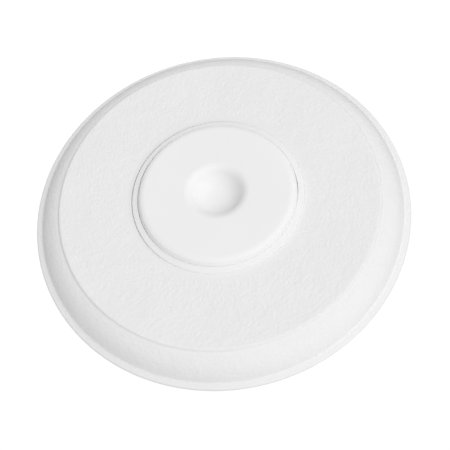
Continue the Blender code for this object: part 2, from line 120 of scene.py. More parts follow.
def add_bumps(tree, shader, layers):
    """layers of (height socket, strength, distance in metres), coarse first."""
    last = None
    for height, strength, distance in layers:
        values = {"Height": height, "Strength": strength, "Distance": distance}
        if last is not None:
            values["Normal"] = last
        last = node(tree, "ShaderNodeBump", values).outputs[0]
    tree.links.new(last, shader.inputs["Normal"])


def grained_plastic():
    """Matte white moulding. Its leather grain is in the mesh; this adds the pores on top of it."""
    mat, tree, shader = new_material("white_grained_plastic")
    at = place_of(tree)
    cloud = noise(tree, at, 55, 3)
    pores = noise(tree, at, 1500, 3, 0.6)
    leather = node(
        tree,
        "ShaderNodeTexVoronoi",
        {"Vector": at, "Scale": 1250, "Randomness": 1.0},
        feature="SMOOTH_F1",
    ).outputs["Distance"]
    mix = node(tree, "ShaderNodeMath", {0: cloud, 1: pores}, operation="ADD").outputs[0]
    tree.links.new(
        ramp(tree, mix, 0.7, 1.3, (0.800, 0.799, 0.800), (0.825, 0.824, 0.825)),
        shader.inputs["Base Color"],
    )
    tree.links.new(spread(tree, pores, 0.3, 0.7, 0.50, 0.62), shader.inputs["Roughness"])
    shader.inputs["Specular IOR Level"].default_value = 0.4
    add_bumps(tree, shader, [(leather, 0.5, 0.00009), (pores, 0.35, 0.00003)])
    return mat


def coated_white(name, low, high, rough):
    """Smooth satin white, with the faint orange peel and unevenness of a sprayed coat."""
    mat, tree, shader = new_material(name)
    at = place_of(tree)
    cloud = noise(tree, at, 40, 2)
    peel = noise(tree, at, 900, 2, 0.4)
    tree.links.new(ramp(tree, cloud, 0.35, 0.65, low, high), shader.inputs["Base Color"])
    tree.links.new(
        spread(tree, peel, 0.3, 0.7, rough - 0.03, rough + 0.05), shader.inputs["Roughness"]
    )
    add_bumps(tree, shader, [(peel, 0.12, 0.00001)])
    return mat


def metal(name, dark, light, rough, lines=2600, line_bump=0.25, turned=True, tint=None, stretch=None):
    """Bare metal: tool or rolling marks, a mottled tone, and roughness that follows both."""
    mat, tree, shader = new_material(name)
    at = place_of(tree)
    if turned:
        along = turned_place(tree)
    else:
        along = node(
            tree, "ShaderNodeMapping", {"Vector": at, "Scale": stretch or (0.04, 1.0, 1.0)}
        ).outputs[0]
    marks = noise(tree, along, lines, 3, 0.65)
    cloud = noise(tree, at, 260, 4, 0.6, 0.4)
    specks = noise(tree, at, 1900, 2, 0.6)
    tone = node(tree, "ShaderNodeMath", {0: cloud, 1: marks}, operation="ADD").outputs[0]
    colour = ramp(tree, tone, 0.65, 1.3, dark, light)
    if tint is not None:
        patches = noise(tree, at, 95, 3, 0.55, 0.8)
        share = spread(tree, patches, 0.45, 0.75, 0.0, 0.55)
        blend = node(tree, "ShaderNodeMix", data_type="RGBA")
        tree.links.new(share, blend.inputs[0])
        tree.links.new(colour, blend.inputs[6])
        blend.inputs[7].default_value = (*tint, 1)
        colour = blend.outputs[2]
    tree.links.new(colour, shader.inputs["Base Color"])
    tree.links.new(
        spread(tree, tone, 0.65, 1.3, rough + 0.10, rough - 0.06), shader.inputs["Roughness"]
    )
    shader.inputs["Metallic"].default_value = 1.0
    add_bumps(tree, shader, [(specks, 0.12, 0.00001), (marks, line_bump, 0.00002)])
    return mat


def film_material():
    mat, tree, shader = new_material("seal_film")
    cloud = noise(tree, place_of(tree), 300, 2)
    tree.links.new(
        ramp(tree, cloud, 0.3, 0.7, (0.80, 0.81, 0.80), (0.88, 0.88, 0.86)),
        shader.inputs["Base Color"],
    )
    tree.links.new(spread(tree, cloud, 0.3, 0.7, 0.32, 0.42), shader.inputs["Roughness"])
    return mat


PLATE = grained_plastic()
RING = coated_white("white_coating_ring", (0.826, 0.825, 0.826), (0.838, 0.837, 0.838), 0.36)
DISC = coated_white("white_coating_cover", (0.848, 0.847, 0.848), (0.860, 0.859, 0.860), 0.34)
BRASS = metal("machined_brass", (0.60, 0.42, 0.17), (0.86, 0.66, 0.34), 0.27, tint=(0.66, 0.44, 0.20))
BRASS_FLAT = metal(
    "rolled_brass", (0.60, 0.43, 0.18), (0.84, 0.65, 0.34), 0.30, 2200, 0.18, False, (0.62, 0.42, 0.20)
)
BRONZE = metal(
    "rolled_bronze", (0.50, 0.29, 0.15), (0.76, 0.48, 0.29), 0.30, 2200, 0.2, False, (0.44, 0.26, 0.17)
)
BRONZE_TURNED = metal("turned_bronze", (0.52, 0.31, 0.16), (0.78, 0.51, 0.31), 0.28)
ZINC = metal(
    "zinc_plate", (0.50, 0.51, 0.53), (0.72, 0.73, 0.75), 0.33, 900, 0.10, True, (0.66, 0.66, 0.60)
)
SPRING = metal("spring_steel", (0.36, 0.36, 0.37), (0.60, 0.60, 0.61), 0.26, 1800, 0.12, True)
SOLDER = metal(
    "solder", (0.40, 0.41, 0.43), (0.62, 0.63, 0.65), 0.46, 700, 0.4, False, (0.47, 0.47, 0.46), (1, 1, 1)
)
FILM = film_material()

# ======================================================================= mesh helpers


def finish_mesh(name, mesh, mat, angle):
    bm = bmesh.new()
    bm.from_mesh(mesh)
    bmesh.ops.recalc_face_normals(bm, faces=bm.faces)
    bm.to_mesh(mesh)
    bm.free()
    mesh.shade_smooth()
    mesh.set_sharp_from_angle(angle=math.radians(angle))
    obj = bpy.data.objects.new(name, mesh)
    scene.collection.objects.link(obj)
    if mat is not None:
        mesh.materials.append(mat)
    return obj


def polar(name, radius, height, mat=None, turn=0.0, angle=32, at=(0.0, 0.0)):
    """A closed shape around the axis. radius and height have a row for each point of the profile and a
    column for each azimuth, in mm. A profile that starts and ends on the axis is capped there."""
    radius = np.asarray(radius, float)
    height = np.asarray(height, float)
    n, m = radius.shape
    az = np.arange(m) * (2 * np.pi / m) + turn
    open_profile = radius[0].max() < 1e-6 and radius[-1].max() < 1e-6
    first, last = (1, n - 1) if open_profile else (0, n)
    x = radius[first:last] * np.cos(az) + at[0]
    y = radius[first:last] * np.sin(az) + at[1]
    z = height[first:last] + CEILING
    points = np.stack([x, y, z], -1).reshape(-1, 3) * MM
    rows = last - first
    j = np.arange(m)
    k = (j + 1) % m
    faces = []
    for i in range(rows if not open_profile else rows - 1):
        a, b = i * m, ((i + 1) % rows) * m
        faces.append(np.stack([a + j, a + k, b + k, b + j], -1))
    faces = np.concatenate(faces).tolist()
    points = points.tolist()
    if open_profile:
        for row, pole in ((0, 0), (rows - 1, -1)):
            points.append((at[0] * MM, at[1] * MM, (height[pole][0] + CEILING) * MM))
            c = len(points) - 1
            faces += [(c, row * m + int(p), row * m + int(q)) for p, q in zip(j, k)]
    mesh = bpy.data.meshes.new(name)
    mesh.from_pydata(points, [], faces)
    return finish_mesh(name, mesh, mat, angle)


def rounded(points, closed=True, step=0.35):
    """A polyline of (r, z) or (r, z, corner radius) with its corners rounded."""
    out = []
    n = len(points)
    for i, p in enumerate(points):
        fillet = p[2] if len(p) > 2 else 0.0
        here = np.array(p[:2], float)
        if fillet <= 0 or (not closed and i in (0, n - 1)):
            out.append(tuple(here))
            continue
        before = np.array(points[i - 1][:2], float) - here
        after = np.array(points[(i + 1) % n][:2], float) - here
        la, lb = np.linalg.norm(before), np.linalg.norm(after)
        before, after = before / la, after / lb
        half = math.acos(float(np.clip(before @ after, -1, 1))) / 2
        back = min(fillet / math.tan(half), 0.48 * la, 0.48 * lb)
        r = back * math.tan(half)
        middle = (before + after) / np.linalg.norm(before + after)
        centre = here + middle * r / math.sin(half)
        a = here + before * back - centre
        b = here + after * back - centre
        total = math.acos(float(np.clip(a @ b / (r * r), -1, 1)))
        steps = max(3, int(math.ceil(total * r / step)), int(total / 0.4))
        for s in range(steps + 1):
            t = s / steps
            v = (math.sin((1 - t) * total) * a + math.sin(t * total) * b) / math.sin(total)
            out.append(tuple(centre + v))
    return out


def lathe(name, profile, steps, mat=None, at=(0.0, 0.0), angle=32, turn=0.0):
    p = np.array(profile, float)
    ones = np.ones((1, steps))
    return polar(name, p[:, :1] * ones, p[:, 1:] * ones, mat, turn, angle, at)


def boxes(name, items, mat=None, bevel=0.0, segments=2, angle=32):
    """Boxes ((x0, x1), (y0, y1), (z0, z1), turn), with their edges rounded, as one object."""
    bm = bmesh.new()
    for (x0, x1), (y0, y1), (z0, z1), turn in items:
        where = (
            Matrix.Rotation(math.radians(turn), 4, "Z")
            @ Matrix.Translation(
                Vector(((x0 + x1) / 2, (y0 + y1) / 2, (z0 + z1) / 2 + CEILING)) * MM
            )
            @ Matrix.Diagonal(((x1 - x0) * MM, (y1 - y0) * MM, (z1 - z0) * MM, 1))
        )
        bmesh.ops.create_cube(bm, size=1, matrix=where)
    if bevel:
        bmesh.ops.bevel(
            bm,
            geom=list(bm.edges),
            offset=bevel * MM,
            segments=segments,
            profile=0.5,
            affect="EDGES",
            clamp_overlap=True,
        )
    mesh = bpy.data.meshes.new(name)
    bm.to_mesh(mesh)
    bm.free()
    return finish_mesh(name, mesh, mat, angle)


def cylinders(name, items, segments=32, mat=None):
    """Rods (x, y, z0, z1, radius) along Z."""
    bm = bmesh.new()
    for x, y, z0, z1, r in items:
        bmesh.ops.create_cone(
            bm,
            cap_ends=True,
            segments=segments,
            radius1=r * MM,
            radius2=r * MM,
            depth=(z1 - z0) * MM,
            matrix=Matrix.Translation(Vector((x, y, (z0 + z1) / 2 + CEILING)) * MM),
        )
    mesh = bpy.data.meshes.new(name)
    bm.to_mesh(mesh)
    bm.free()
    return finish_mesh(name, mesh, mat, 32)


def merge(obj, steps, angle=32):
    """Joins or cuts obj with the others, in order, and keeps only the result."""
    for other, operation in steps:
        mod = obj.modifiers.new(operation.lower(), "BOOLEAN")
        mod.operation = operation
        mod.object = other
        mod.solver = "EXACT"
        bpy.context.view_layer.update()
        graph = bpy.context.evaluated_depsgraph_get()
        made = bpy.data.meshes.new_from_object(obj.evaluated_get(graph))
        obj.modifiers.clear()
        old = obj.data
        obj.data = made
        bpy.data.meshes.remove(old)
        bpy.data.objects.remove(other)
    obj.data.shade_smooth()
    obj.data.set_sharp_from_angle(angle=math.radians(angle))
    return obj


def from_cad(name, cad_node, mat, bevel=0.12, segments=2, angle=30):
    """A finished copy of a CAD solid: its flat faces made whole again and its edges broken."""
    bm = bmesh.new()
    bm.from_mesh(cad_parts[cad_node].data)
    bmesh.ops.remove_doubles(bm, verts=bm.verts, dist=2e-6)
    bmesh.ops.dissolve_limit(
        bm, angle_limit=math.radians(0.6), verts=bm.verts, edges=bm.edges, delimit=set()
    )
    bmesh.ops.recalc_face_normals(bm, faces=bm.faces)
    mesh = bpy.data.meshes.new(name)
    bm.to_mesh(mesh)
    bm.free()
    mesh.materials.clear()
    obj = finish_mesh(name, mesh, mat, angle)
    if bevel:
        soft = obj.modifiers.new("edges", "BEVEL")
        soft.width = bevel * MM
        soft.segments = segments
        soft.limit_method = "ANGLE"
        soft.angle_limit = math.radians(angle)
        soft.use_clamp_overlap = True
    return obj


def belongs(obj, body, material_slot, *cad_nodes):
    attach(obj, body)
    if cad_nodes:
        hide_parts(*cad_nodes)
    return obj


# ----------------------------------------------------------------------- seeded noise


def lattice(ix, iy, seed):
    """A repeatable number from 0 to 1 for each whole-numbered place."""
    h = (
        ix.astype(np.int64) * 374761393 + iy.astype(np.int64) * 668265263 + seed * 2147483647
    ) & 0xFFFFFFFF
    h = ((h ^ (h >> 13)) * 1274126177) & 0xFFFFFFFF
    h = ((h ^ (h >> 16)) * 2246822519) & 0xFFFFFFFF
    return ((h ^ (h >> 15)) & 0xFFFFFF) / float(0xFFFFFF)


def value_noise(x, y, seed):
    ix, iy = np.floor(x), np.floor(y)
    fx, fy = x - ix, y - iy
    fx, fy = fx * fx * (3 - 2 * fx), fy * fy * (3 - 2 * fy)
    a, b = lattice(ix, iy, seed), lattice(ix + 1, iy, seed)
    c, d = lattice(ix, iy + 1, seed), lattice(ix + 1, iy + 1, seed)
    return (a * (1 - fx) + b * fx) * (1 - fy) + (c * (1 - fx) + d * fx) * fy - 0.5


def leather(x, y):
    """Grain height, about -1 to 1, at a place in mm: soft pebbles between irregular creases."""
    wx = x + 0.9 * value_noise(x / 1.6, y / 1.6, 3) + 0.35 * value_noise(x / 0.7, y / 0.7, 4)
    wy = y + 0.9 * value_noise(x / 1.6, y / 1.6, 5) + 0.35 * value_noise(x / 0.7, y / 0.7, 6)
    cell = 1.1
    u, v = wx / cell, wy / cell
    iu, iv = np.floor(u), np.floor(v)
    f1 = np.full(x.shape, 9.0)
    f2 = np.full(x.shape, 9.0)
    for du in (-1, 0, 1):
        for dv in (-1, 0, 1):
            cu, cv = iu + du, iv + dv
            px = cu + 0.5 + 0.86 * (lattice(cu, cv, 11) - 0.5)
            py = cv + 0.5 + 0.86 * (lattice(cu, cv, 12) - 0.5)
            d = np.hypot(u - px, v - py)
            f2 = np.minimum(f2, np.maximum(f1, d))
            f1 = np.minimum(f1, d)
    edge = np.clip((f2 - f1) / 0.42, 0, 1)
    pebble = edge * edge * (3 - 2 * edge)
    fine = value_noise(x / 0.55, y / 0.55, 7) + value_noise(x / 2.6, y / 2.6, 8)
    return (pebble - 0.55) * 1.1 + 0.9 * fine


# ======================================================================= ceiling plate
STEPS = 720
GRAIN = 0.095  # mm, half the height of the grain

arc_r, arc_a0, arc_a1 = 11.03, math.radians(17.5), math.radians(70.0)
arc_c = (54.20 - arc_r * math.sin(arc_a0), -8.0 + arc_r * math.cos(arc_a0))


def skirt(a, r=arc_r):
    return (arc_c[0] + r * math.sin(a), arc_c[1] - r * math.cos(a))


EDGE = [
    (52.60, -8.895, 0.9),
    (52.90, -8.88, 0.7),
    (53.15, -8.845, 0.5),
    (53.33, -8.78, 0.3),
    (53.46, -8.69, 0.2),
    (53.56, -8.57, 0.1),
    (53.65, -8.43, 0.1),
    (53.74, -8.28, 0.1),
    (53.84, -8.155, 0.1),
    (53.95, -8.08, 0.1),
    (54.07, -8.035, 0.1),
]

front = []  # (r, z, how much of the grain is here, direction the grain stands in)
DOWN = (0.0, -1.0)
for r, z in [(27.75, -7.1), (27.75, -7.7), (27.75, -8.2), (27.75, -8.7), (27.8, -8.82), (27.9, -8.88), (28.2, -8.90), (28.42, -8.90), (28.44, -8.50)]:
    front.append((r, z, 0.0, DOWN))
for r, z in [(28.71, -8.46), (28.72, -8.90), (28.735, -9.03)]:
    front.append((r, z, 0.0, DOWN))
for r in np.linspace(28.78, 30.3, 14)[1:]:
    t = (r - 28.78) / (30.3 - 28.78)
    front.append((r, -8.9 - 0.16 * (1 - t) ** 2, 0.0, DOWN))
for r in np.linspace(30.3, 52.3, 65)[1:]:
    full = min(1.0, (r - 30.3) / 1.8)
    front.append((r, -8.9, full, DOWN))
# the face's edge: a soft shoulder, a short steep step, then the skirt
for r, z, full in EDGE:
    front.append((r, z, full, DOWN))
for i in range(33):
    a = arc_a0 + (arc_a1 - arc_a0) * i / 32
    full = min(1.0, i / 2.0, (32 - i) / 5.0)
    front.append((*skirt(a), max(full, 0.0), (math.sin(a), -math.cos(a))))
for r, z in [(61.36, -1.16), (61.52, -1.11), (61.75, -1.10), (62.2, -1.10), (62.6, -1.10), (62.82, -1.09), (63.00, -1.05), (63.17, -0.97), (63.31, -0.86), (63.42, -0.71), (63.48, -0.54), (63.50, -0.36), (63.50, -0.15), (63.46, -0.04), (63.35, 0.0)]:
    front.append((r, z, 0.0, DOWN))
back = [(61.6, 0.0), (60.0, 0.0), (59.85, -0.05)]
for i in range(12):
    back.append(skirt(arc_a1 + (arc_a0 - arc_a1) * i / 11, arc_r - 1.8))
back += rounded(
    [
        (53.1, -6.85),
        (52.4, -7.1, 0.6),
        (32.75, -7.1, 0.25),
        (32.5, -4.7, 0.2),
        (31.5, -4.7, 0.2),
        (31.25, -7.1, 0.25),
        (28.4, -7.1),
    ],
    closed=False,
)[1:]
# long flat runs get a few more rings
dense = []
for p, q in zip(back, back[1:] + [back[-1]]):
    dense.append(p)
    gap = math.hypot(q[0] - p[0], q[1] - p[1])
    if gap > 3:
        for t in np.linspace(0, 1, int(gap / 2.5) + 1)[1:-1]:
            dense.append((p[0] + (q[0] - p[0]) * t, p[1] + (q[1] - p[1]) * t))
back = dense

profile = np.array([(r, z) for r, z, *_ in front] + back)
share = np.array([f[2] for f in front] + [0.0] * len(back))
stand = np.array([f[3] for f in front] + [DOWN] * len(back))
run = np.concatenate([[0], np.cumsum(np.hypot(*np.diff(profile, axis=0).T))])
run = run - run[len([f for f in front if f[0] < 30.3])] + 30.3  # unrolled distance from the axis
az = np.arange(STEPS) * (2 * np.pi / STEPS)
gx, gy = run[:, None] * np.cos(az), run[:, None] * np.sin(az)
grain = np.zeros((len(profile), STEPS))
rows = share > 0
grain[rows] = leather(gx[rows], gy[rows])
grain *= share[:, None] * GRAIN
plate = polar(
    "ceiling_plate_shell",
    profile[:, :1] + stand[:, :1] * grain,
    profile[:, 1:] + stand[:, 1:] * grain,
    PLATE,
    angle=38,
)
belongs(plate, "trim_assembly", "white_grained_plastic", "ceiling_plate")

ribs = boxes(
    "ceiling_plate_ribs",
    [((32.2, 54.3), (-0.6, 0.6), (-7.5, -5.2), 30 + 60 * k) for k in range(6)],
    PLATE,
    0.22,
    3,
)
belongs(ribs, "trim_assembly", "white_grained_plastic")

# ======================================================================= trim ring
M = 360
az = np.arange(M) * (2 * np.pi / M)
# the gap round the cover is closed on one side; it shows as a hairline on the other and as a short slit
off = np.angle(np.exp(1j * (az - math.radians(8.0))))
gap = 0.004 + 0.13 * np.exp(-((off / math.radians(10.0)) ** 2))
gap += 0.12 * np.clip(np.cos(az - math.radians(-143.0)), 0, 1) ** 1.2
ring_profile = rounded(
    [
        (28.74, -8.93),
        (28.72, -9.02, 0.03),
        (28.48, -9.42, 0.20),
        (27.50, -9.55, 0.60),
        (26.60, -9.65, 0.02),
        (26.60, -8.93),
    ],
    step=0.06,
)
p = np.array(ring_profile)
radius = p[:, :1] * np.ones((1, M))
# the ring sits a little off centre in its seat: the gap round it opens on one side
outer = np.clip((p[:, :1] - 27.6) / 0.9, 0, 1)
radius = radius - outer * 0.17 * np.clip(np.cos(az - math.radians(-140.0)), 0, 1)[None, :]
inner = np.clip((27.1 - p[:, :1]) / 0.5, 0, 1)
radius = radius + inner * (26.5 + gap - 26.60)[None, :]
ring = polar("trim_ring_band", radius, p[:, 1:] * np.ones((1, M)), RING, angle=40)
belongs(ring, "trim_assembly", "white_coating", "trim_ring")

# ======================================================================= cover disc
COVER_Z, COVER_R, COVER_T = -11.6, 26.5, 0.6
DOME_R, DOME, CORNER, WALL = 23.8, math.radians(27), 0.5, math.radians(60)
WALL_FOOT = -9.60  # the shoulder ends level with the ring's inner edge
RIM_R, RIM_FILLET, DEPTH, HALF = 11.0, 3.6, 4.75, math.radians(54)


def cover_profile():
    """The disc's visible side, from its hidden edge up over the domed shoulder and into the dimple."""
    shoulder = []
    big = 1.7 / math.sin(DOME)
    for i in range(13):
        a = DOME * i / 12
        shoulder.append((DOME_R + big * math.sin(a), COVER_Z + big * (1 - math.cos(a))))
    r0, z0 = shoulder[-1]
    for i in range(1, 9):
        a = DOME + (WALL - DOME) * i / 8
        shoulder.append(
            (r0 + CORNER * (math.sin(a) - math.sin(DOME)), z0 + CORNER * (math.cos(DOME) - math.cos(a)))
        )
    r0, z0 = shoulder[-1]
    shoulder += [(r0 + (COVER_R - r0) * t, z0 + (WALL_FOOT - z0) * t) for t in (0.33, 0.67, 1.0)]
    out = [(COVER_R, -8.6)] + shoulder[::-1]
    for r in np.linspace(DOME_R, RIM_R, 14)[1:-1]:
        out.append((r, COVER_Z))
    for i in range(15):
        a = HALF * i / 14
        out.append((RIM_R - RIM_FILLET * math.sin(a), COVER_Z + RIM_FILLET * (1 - math.cos(a))))
    r0, z0 = out[-1]
    left = COVER_Z + DEPTH - z0
    power = math.tan(HALF) * r0 / left
    for i in range(1, 25):
        q = 1 - i / 24
        out.append((r0 * q, z0 + left * (1 - q**power)))
    return out


outside = cover_profile()
outer = np.array(outside)
along = np.gradient(outer, axis=0)
normal = np.stack([-along[:, 1], along[:, 0]], -1)
normal /= np.linalg.norm(normal, axis=1)[:, None]
inside = [tuple(q) for q in (outer - normal * COVER_T)[::-1]]
if inside[len(inside) // 2][1] < outer[len(outer) // 2][1]:
    inside = [tuple(q) for q in (outer + normal * COVER_T)[::-1]]
inside = [(max(r, 0.0), z) for r, z in inside]
inside[0] = (0.0, inside[0][1])
inside = [q for q in inside if q[1] <= -6.3 and q[0] <= COVER_R - COVER_T + 0.02][:-1] + [(COVER_R - COVER_T, -8.6)]
# the profile starts and ends on the axis: outer side from the pole out is reversed
loop = [tuple(q) for q in outer[::-1]] + [q for q in inside[::-1]]
cover = lathe("cover_disc_shell", loop, 256, DISC, angle=40)
belongs(cover, "cover", "white_coating", "cover_disc")

for k in range(3):
    pad = from_cad(f"cover_alloy_pad_{k + 1}", f"cover_solder_pad_{k + 1}", SOLDER, 0.12, 3)
    belongs(pad, "cover", "solder", f"cover_solder_pad_{k + 1}")

# ejection spring: a coil with closed ends
coil = bpy.data.curves.new("ejection_coil", "CURVE")
coil.dimensions = "3D"
coil.bevel_depth = 0.35 * MM
coil.bevel_resolution = 4
coil.use_fill_caps = True
line = coil.splines.new("POLY")
count = 181
line.points.add(count - 1)
low, high = -12.1 + 0.9 + 0.3 + 0.35, -6.2 - 0.3 - 0.35
for i in range(count):
    t = i / (count - 1)
    a = 2 * math.pi * 2.5 * t
    line.points[i].co = (
        11.9 * math.cos(a) * MM,
        11.9 * math.sin(a) * MM,
        (low + (high - low) * t + CEILING) * MM,
        1,
    )
coil.materials.append(SPRING)
spring = bpy.data.objects.new("ejection_coil", coil)
scene.collection.objects.link(spring)
belongs(spring, "cover", "spring_steel", "ejection_spring")

# ======================================================================= retainer sleeve
sleeve = lathe(
    "retainer_sleeve_shell",
    rounded([(27.35, 20.0, 0.25), (27.35, -8.9, 0.2), (26.75, -8.9, 0.2), (26.75, 20.0, 0.25)], step=0.2),
    144,
)
windows = boxes(
    "windows", [((24, 30), (-5, 5), (1.5, 8.5), 45 + 90 * k) for k in range(4)], None, 0.9, 3
)
dimple_bm = bmesh.new()
for k in range(4):
    a = math.radians(90 * k)
    bmesh.ops.create_uvsphere(
        dimple_bm,
        u_segments=24,
        v_segments=16,
        radius=1.6 * MM,
        matrix=Matrix.Translation(
            Vector((26.02 * math.cos(a), 26.02 * math.sin(a), 15.0 - 0.45 * k + CEILING)) * MM
        ),
    )
dimple_mesh = bpy.data.meshes.new("dimples")
dimple_bm.to_mesh(dimple_mesh)
dimple_bm.free()
dimples = finish_mesh("dimples", dimple_mesh, None, 32)


def strip(name, outline, width, turn):
    """A bent strip: the outline (r, z) is its side, width is across."""
    bm = bmesh.new()
    left = [bm.verts.new((r * MM, -width / 2 * MM, (z + CEILING) * MM)) for r, z in outline]
    right = [bm.verts.new((r * MM, width / 2 * MM, (z + CEILING) * MM)) for r, z in outline]
    bm.faces.new(left)
    bm.faces.new(right[::-1])
    n = len(outline)
    for i in range(n):
        bm.faces.new((left[i], left[(i + 1) % n], right[(i + 1) % n], right[i]))
    bmesh.ops.rotate(bm, verts=bm.verts, matrix=Matrix.Rotation(math.radians(turn), 3, "Z"))
    mesh = bpy.data.meshes.new(name)
    bm.to_mesh(mesh)
    bm.free()
    return finish_mesh(name, mesh, None, 32)


tab_z = -12.1 + 0.9 + 0.6 + 0.3
tab_side = rounded(
    [
        (27.05, -4.7),
        (22.5, -4.7, 0.9),
        (22.5, tab_z + 0.7, 0.15),
        (20.5, tab_z + 0.7, 0.2),
        (20.5, tab_z, 0.2),
        (23.3, tab_z, 0.8),
        (23.3, -5.5, 0.2),
        (27.05, -5.5),
    ],
    step=0.15,
)
steps = [(windows, "DIFFERENCE"), (dimples, "UNION")]
for k, turn in enumerate((90, 210, 330)):
    steps.append((strip(f"tab_{k}", tab_side, 5.0, turn), "UNION"))
merge(sleeve, steps)
sleeve.data.materials.clear()
sleeve.data.materials.append(ZINC)
belongs(sleeve, "trim_assembly", "zinc_plated_steel", "retainer_sleeve")

# ======================================================================= push-on clip
clip = lathe(
    "plate_clip_ring",
    rounded([(30.8, -6.0, 0.12), (30.8, -6.8, 0.12), (27.65, -6.7, 0.12), (27.65, -5.9, 0.12)], step=0.08),
    144,
)
notches = boxes(
    "notches", [((26.5, 29.6), (-0.55, 0.55), (-7.4, -4.6), 15 + 30 * k) for k in range(12)], None, 0.2
)
merge(clip, [(notches, "DIFFERENCE")])
clip.data.materials.clear()
clip.data.materials.append(SPRING)
belongs(clip, "trim_assembly", "spring_steel", "plate_clip")

# ======================================================================= sprinkler body
M = 144
az = np.arange(M) * (2 * np.pi / M)
flat = np.abs((az + math.radians(30)) % math.radians(60) - math.radians(30))  # from a flat's middle
hexagon = np.minimum(12.7 / np.cos(flat), 14.45)
rows_r, rows_z = [], []


def row(r, z):
    rows_r.append(np.broadcast_to(np.asarray(r, float), (M,)).copy())
    rows_z.append(np.full(M, float(z)))


PITCH = 1.814
# mouth of the waterway, then down the thread
for r, z in ((7.5, 54.0), (7.7, 54.0)):
    row(r, z)
heights = np.linspace(54.0, 41.2, 108)
for z in heights:
    phase = (z / PITCH - az / (2 * np.pi)) % 1.0
    tooth = np.clip((1 - np.abs(phase - 0.5) * 2) * 1.30 - 0.12, 0, 1)
    run_out = float(np.clip((z - 41.6) / 2.6, 0, 1))
    root = 10.35 + (54 - z) / 32 - 1.2
    r = root + 1.2 * (1 - run_out + run_out * tooth) * (0.55 + 0.45 * run_out)
    lead = 9.2 + (54.0 - z) * 0.9  # the chamfer at the thread's start
    row(np.minimum(r, lead), z)
for r, z in ((9.75, 40.95), (9.7, 40.75), (9.8, 40.55), (10.1, 40.43), (10.6, 40.4), (12.35, 40.4)):
    row(r, z)
for z in np.concatenate([np.linspace(40.38, 39.1, 12), [38.0, 37.3, 36.6], np.linspace(35.5, 34.22, 12)]):
    cone = 12.35 + 1.73 * min(40.4 - z, z - 34.2)
    row(np.minimum(hexagon, cone), z)
for r, z in rounded(
    [
        (12.35, 34.2),
        (10.2, 34.2, 0.3),
        (10.2, 25.0, 0.6),
        (12.5, 22.0, 0.5),
        (12.5, 12.0, 0.35),
        (8.9, 12.0, 0.3),
        (8.9, 22.0, 0.25),
        (6.6, 22.0, 0.15),
        (6.35, 22.25, 0.1),
        (5.5, 22.25, 0.15),
        (5.5, 51.0, 0.5),
        (7.5, 54.0),
    ],
    closed=False,
    step=0.3,
)[:-1]:
    row(r, z)
body = polar("sprinkler_body_casting", rows_r, rows_z)
ears = boxes(
    "ears",
    [((-3, 3), (10.5, 16.8), (12, 18), 0), ((-3, 3), (-16.8, -10.5), (12, 18), 0)],
    None,
    0.8,
    4,
)
reliefs = boxes(
    "reliefs",
    [((-2.7, 2.7), (11.7, 19), (17.9, 25.5), 0), ((-2.7, 2.7), (-19, -11.7), (17.9, 25.5), 0)],
)
holes = cylinders("holes", [(0, s * 14.2, 11, 19, 1.3) for s in (-1, 1)], 40)
pockets = boxes("pockets", [((6, 14), (-5.5, 5.5), (15.0, 18.3), t) for t in (0, 180)], None, 0.3, 2)
slots = boxes("slots", [((6, 14), (-3.0, 3.0), (10.5, 17.9), t) for t in (0, 180)], None, 0.3, 2)
merge(
    body,
    [
        (ears, "UNION"),
        (reliefs, "DIFFERENCE"),
        (holes, "DIFFERENCE"),
        (pockets, "DIFFERENCE"),
        (slots, "DIFFERENCE"),
    ],
)
body.data.materials.clear()
body.data.materials.append(BRASS)
belongs(body, "sprinkler", "brass", "sprinkler_body")

# ======================================================================= support cup
def bead(z, r, out, n=7):
    """A rolled bead: half a sine across 2.4 mm."""
    pts = []
    for i in range(n + 1):
        t = i / n
        pts.append((r + out * math.sin(math.pi * t) ** 2, z + 1.2 - 2.4 * t))
    return pts


outer_side = [(10.55, 33.9, 0.2), (28.6, 33.9, 2.2)]
for z in (21.0, 14.0):
    outer_side += bead(z, 28.6, 0.5)
outer_side += [(28.6, 2.0, 0.25), (27.9, 2.0, 0.25)]
inner_side = []
for z in (14.0, 21.0):
    inner_side += bead(z, 27.9, 0.5)[::-1]
inner_side += [(27.9, 33.0, 1.5), (10.55, 33.0, 0.2)]
cup = lathe("support_cup_shell", rounded(outer_side + inner_side, step=0.3), 180)
top_vents = boxes(
    "top_vents", [((16, 24.5), (-2, 2), (30.9, 34.9), 30 + 60 * k) for k in range(6)], None, 0.9, 4
)
wall_vents = boxes(
    "wall_vents", [((25, 31), (-4, 4), (25.4, 29.4), 60 * k) for k in range(6)], None, 0.9, 4
)
merge(cup, [(top_vents, "DIFFERENCE"), (wall_vents, "DIFFERENCE")])
cup.data.materials.clear()
cup.data.materials.append(ZINC)
belongs(cup, "sprinkler", "zinc_plated_steel", "support_cup")

snap = from_cad("cup_snap_ring", "cup_retaining_ring", SPRING, 0.15, 3)
belongs(snap, "sprinkler", "spring_steel", "cup_retaining_ring")

# ======================================================================= valve stack
valve_cap = lathe(
    "valve_cap_button",
    [(0, SEAT - 0.1)]
    + rounded(
        [
            (0, SEAT - 0.1),
            (3.4, SEAT - 0.1, 0.3),
            (4.2, SEAT - 0.6, 0.3),
            (4.2, SEAT - 2.25, 0.25),
            (6.9, SEAT - 2.25, 0.2),
            (6.9, SEAT - 3.05, 0.2),
            (2.0, SEAT - 3.05, 0.1),
            (2.0, SEAT - 2.4, 0.1),
            (0, SEAT - 2.4),
        ],
        closed=False,
        step=0.1,
    )[1:],
    64,
    BRONZE_TURNED,
)
belongs(valve_cap, "valve", "bronze", "valve_cap")
belleville = lathe(
    "disc_spring",
    rounded(
        [
            (8.3, SEAT - 0.85, 0.1),
            (8.3, SEAT - 1.25, 0.1),
            (4.6, SEAT - 1.95, 0.1),
            (4.6, SEAT - 1.55, 0.1),
        ],
        step=0.05,
    ),
    72,
    SPRING,
)
